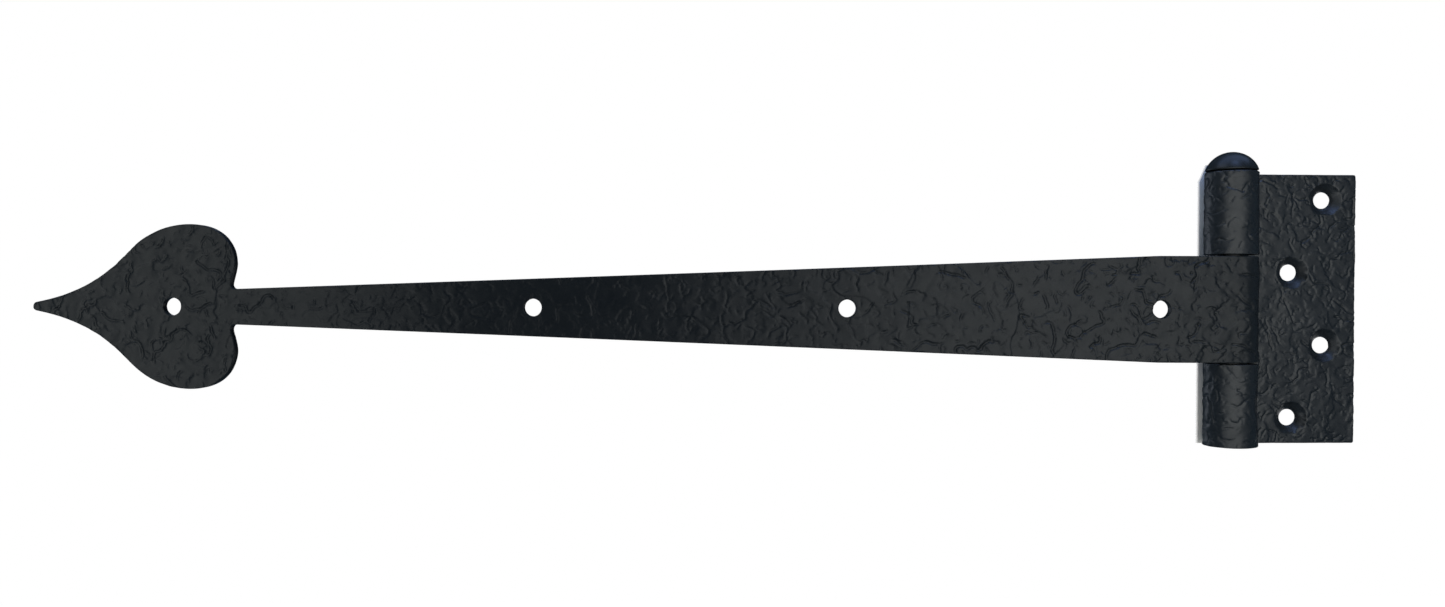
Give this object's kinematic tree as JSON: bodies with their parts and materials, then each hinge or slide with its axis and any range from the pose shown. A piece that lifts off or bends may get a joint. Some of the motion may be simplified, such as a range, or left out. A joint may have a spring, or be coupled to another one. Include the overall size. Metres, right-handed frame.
{
  "type": "strap hinge",
  "caption": "Heavy door strap hinge: tapered strap with a heart-shaped end, rolled knuckles on a domed loose pin, and a short countersunk butt plate.",
  "frame": {"origin": "on the butt plate's back face, 28 mm from the pin axis and half way up, where it bears on the door jamb", "axes": "+Y out of the butt plate's back face into the jamb, +Z along the pin towards its domed head, +X from the pin to the butt plate's outer edge; the strap runs towards -X"},
  "size_m": [0.4572, 0.0174, 0.1014],
  "materials": {
    "butt_leaf_paint": "satin black paint over hammered steel sheet",
    "strap_leaf_paint": "satin black paint over hammered steel sheet",
    "pin_paint": "smooth satin black paint"
  },
  "bodies": {
    "butt": {"butt_leaf": "butt_leaf_paint"},
    "strap": {"strap_leaf": "strap_leaf_paint"},
    "pin": {"hinge_pin": "pin_paint"}
  },
  "joints": [
    {"name": "strap_swing", "type": "hinge", "parent": "butt", "child": "strap", "pos_m": [-0.028, -0.0087, 0], "axis": [0, 0, 1], "range_deg": [-158, 158]},
    {"name": "pin_lift", "type": "slide", "parent": "butt", "child": "pin", "axis": [0, 0, 1], "range_m": [0, 0.1]}
  ]
}
